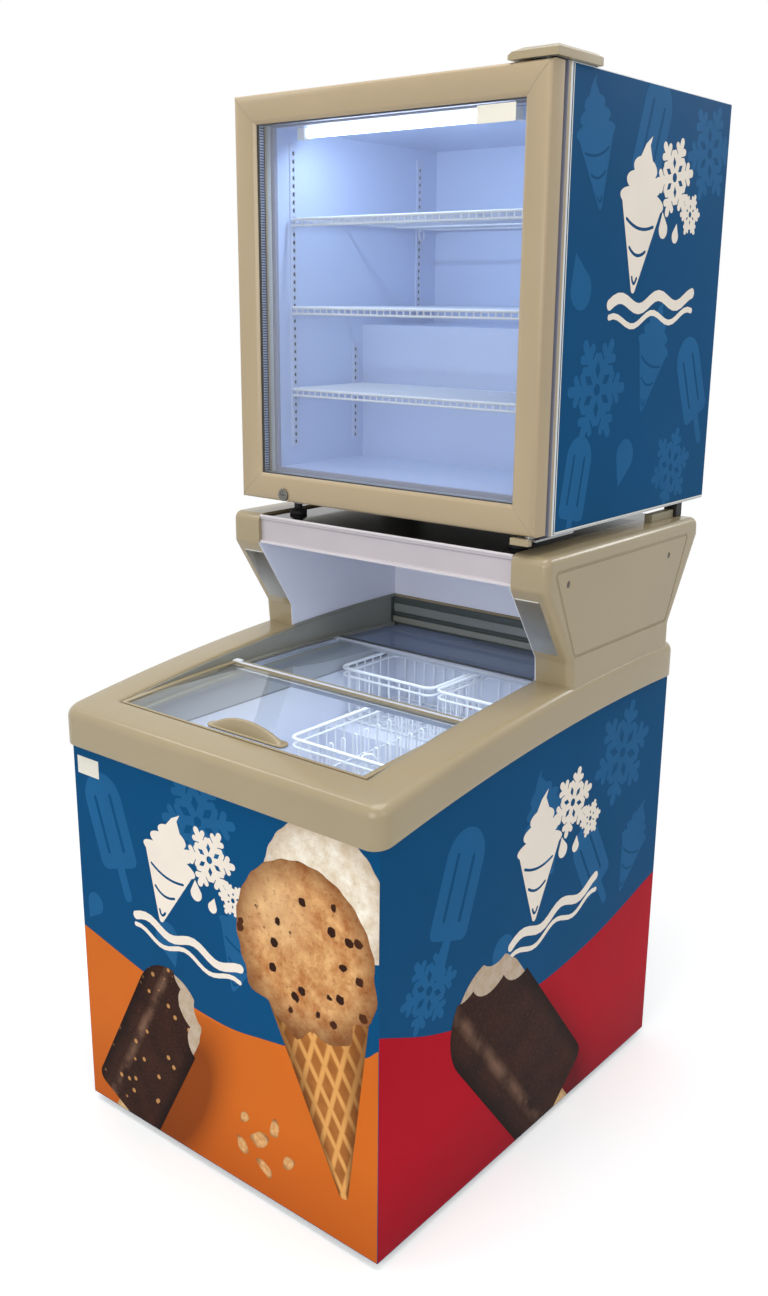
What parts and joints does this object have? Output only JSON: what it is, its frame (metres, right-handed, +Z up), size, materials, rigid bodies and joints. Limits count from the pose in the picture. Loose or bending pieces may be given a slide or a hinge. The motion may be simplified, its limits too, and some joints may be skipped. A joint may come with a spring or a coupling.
{
  "type": "ice cream merchandising freezer",
  "caption": "Chest freezer with curved sliding glass lids and wire baskets, carrying an upright glass-door freezer on a canopy over its rear half.",
  "frame": {"origin": "on the floor, in the middle of the freezer's width and depth", "axes": "+Z up; the door and the chest's front face -Y; +X is the side of the door's hinges"},
  "size_m": [0.66, 0.944, 1.6783],
  "materials": {
    "coated_steel": "smooth coated sheet steel",
    "foot_rubber": "matt black rubber",
    "foam": "rigid polyurethane foam",
    "white_liner": "white enamelled sheet",
    "copper_tube": "bare copper tube",
    "printed_skin": "glossy printed film, blue with an orange and a red band",
    "cream_plate": "blank cream plate",
    "beige_plastic": "semi-gloss beige moulding",
    "rail_grey": "grey extrusion",
    "trim_dark": "dark grey moulding",
    "lid_glass": "clear curved tempered glass",
    "lid_strip": "pale edge strip",
    "rear_strip": "satin aluminium strip",
    "fixed_pane": "clear glass",
    "coated_wire": "white coated steel wire",
    "compressor_black": "black enamel",
    "condenser_black": "black coated fins and tube",
    "motor_grey": "dark grey motor case",
    "fan_aluminium": "pressed aluminium",
    "grille_steel": "pale grey painted sheet",
    "black_plastic": "matt black plastic",
    "plug_grey": "grey rubber",
    "lining_sheet": "pale painted sheet",
    "fascia_strip": "satin strip",
    "canopy_pane": "dark glossy glass",
    "frame_steel": "painted steel",
    "screw_steel": "zinc plated steel",
    "white_steel": "white painted sheet",
    "door_pane": "clear double pane",
    "spacer_aluminium": "aluminium spacer",
    "gasket_rubber": "soft pale grey seal",
    "lock_zinc": "satin zinc",
    "lock_brass": "nickel plated brass",
    "hinge_steel": "zinc plated steel",
    "lamp_glass": "frosted lit tube",
    "white_plastic": "white plastic",
    "shelf_steel": "white painted steel"
  },
  "bodies": {
    "cabinet": {"chest_shell": "coated_steel", "chest_base": "coated_steel", "chest_feet": "foot_rubber", "chest_foam": "foam", "chest_liner": "white_liner", "evaporators": "copper_tube", "wrap_front": "printed_skin", "wrap_sides": "printed_skin", "chest_label": "cream_plate", "top_frame": "beige_plastic", "lid_rails": "rail_grey", "rear_trim": "trim_dark", "fixed_glass": "fixed_pane", "compressors": "compressor_black", "condensers": "condenser_black", "fan_motors": "motor_grey", "rear_grilles": "grille_steel", "power_inlets": "black_plastic", "bracket_left": "beige_plastic", "bracket_right": "beige_plastic", "canopy_lining": "lining_sheet", "fascia": "fascia_strip", "canopy_glass": "canopy_pane", "canopy_frame": "frame_steel", "bracket_screws": "screw_steel", "upper_feet": "foot_rubber", "upper_shell": "white_steel", "upper_wraps": "printed_skin", "upper_foam": "foam", "upper_liner": "white_liner", "upper_flange": "beige_plastic", "door_hinges": "hinge_steel", "hinge_cover": "beige_plastic", "lamp_tube": "lamp_glass", "lamp_holders": "white_plastic", "pilasters": "shelf_steel", "shelf_clips": "shelf_steel", "wire_shelves": "coated_wire"},
    "front_lid": {"front_lid_glass": "lid_glass", "front_lid_frame": "lid_strip", "front_lid_handle": "beige_plastic"},
    "rear_lid": {"rear_lid_glass": "lid_glass", "rear_lid_frame": "rear_strip"},
    "door": {"door_frame": "beige_plastic", "door_glass": "door_pane", "door_spacer": "spacer_aluminium", "door_gasket": "gasket_rubber", "door_label": "cream_plate", "lock_body": "lock_zinc"},
    "lock": {"lock_plug": "lock_brass"},
    "front_basket": {"front_basket": "coated_wire"},
    "rear_basket_left": {"rear_basket_left": "coated_wire"},
    "rear_basket_right": {"rear_basket_right": "coated_wire"},
    "chest_fan": {"chest_fan": "fan_aluminium"},
    "upper_fan": {"upper_fan": "fan_aluminium"},
    "chest_thermostat": {"chest_thermostat": "black_plastic"},
    "upper_thermostat": {"upper_thermostat": "black_plastic"},
    "lamp_switch": {"lamp_switch": "black_plastic"},
    "drain_plug": {"drain_plug": "plug_grey"}
  },
  "joints": [
    {"name": "front_lid_slide", "type": "hinge", "parent": "cabinet", "child": "front_lid", "pos_m": [0, -0.03, -4.156], "axis": [-1, 0, 0], "range_deg": [0, 2.8]},
    {"name": "rear_lid_slide", "type": "hinge", "parent": "cabinet", "child": "rear_lid", "pos_m": [0, -0.03, -4.156], "axis": [1, 0, 0], "range_deg": [0, 2.8]},
    {"name": "door_swing", "type": "hinge", "parent": "cabinet", "child": "door", "pos_m": [0.283, -0.073, 1.34], "axis": [0, 0, 1], "range_deg": [0, 110]},
    {"name": "lock_turn", "type": "hinge", "parent": "door", "child": "lock", "pos_m": [-0.199, -0.09, 1.03], "axis": [0, -1, 0], "range_deg": [0, 90]},
    {"name": "front_basket_lift", "type": "slide", "parent": "cabinet", "child": "front_basket", "axis": [0, 0, 1], "range_m": [0, 0.05]},
    {"name": "rear_basket_left_lift", "type": "slide", "parent": "cabinet", "child": "rear_basket_left", "axis": [0, 0, 1], "range_m": [0, 0.03]},
    {"name": "rear_basket_right_lift", "type": "slide", "parent": "cabinet", "child": "rear_basket_right", "axis": [0, 0, 1], "range_m": [0, 0.03]},
    {"name": "chest_fan_spin", "type": "hinge", "parent": "cabinet", "child": "chest_fan", "pos_m": [-0.14, 0.2488, 0.1102], "axis": [0, 1, 0], "continuous": true},
    {"name": "upper_fan_spin", "type": "hinge", "parent": "cabinet", "child": "upper_fan", "pos_m": [-0.14, 0.3748, 1.1102], "axis": [0, 1, 0], "continuous": true},
    {"name": "chest_thermostat_turn", "type": "hinge", "parent": "cabinet", "child": "chest_thermostat", "pos_m": [0.2, 0.334, 0.1055], "axis": [0, 1, 0], "range_deg": [0, 270]},
    {"name": "upper_thermostat_turn", "type": "hinge", "parent": "cabinet", "child": "upper_thermostat", "pos_m": [0.2, 0.46, 1.1055], "axis": [0, 1, 0], "range_deg": [0, 270]},
    {"name": "lamp_switch_tip", "type": "hinge", "parent": "cabinet", "child": "lamp_switch", "pos_m": [0.2, 0.458, 1.165], "axis": [-1, 0, 0], "range_deg": [0, 16]},
    {"name": "drain_plug_lift", "type": "slide", "parent": "cabinet", "child": "drain_plug", "axis": [0, 0, 1], "range_m": [0, 0.025]}
  ]
}
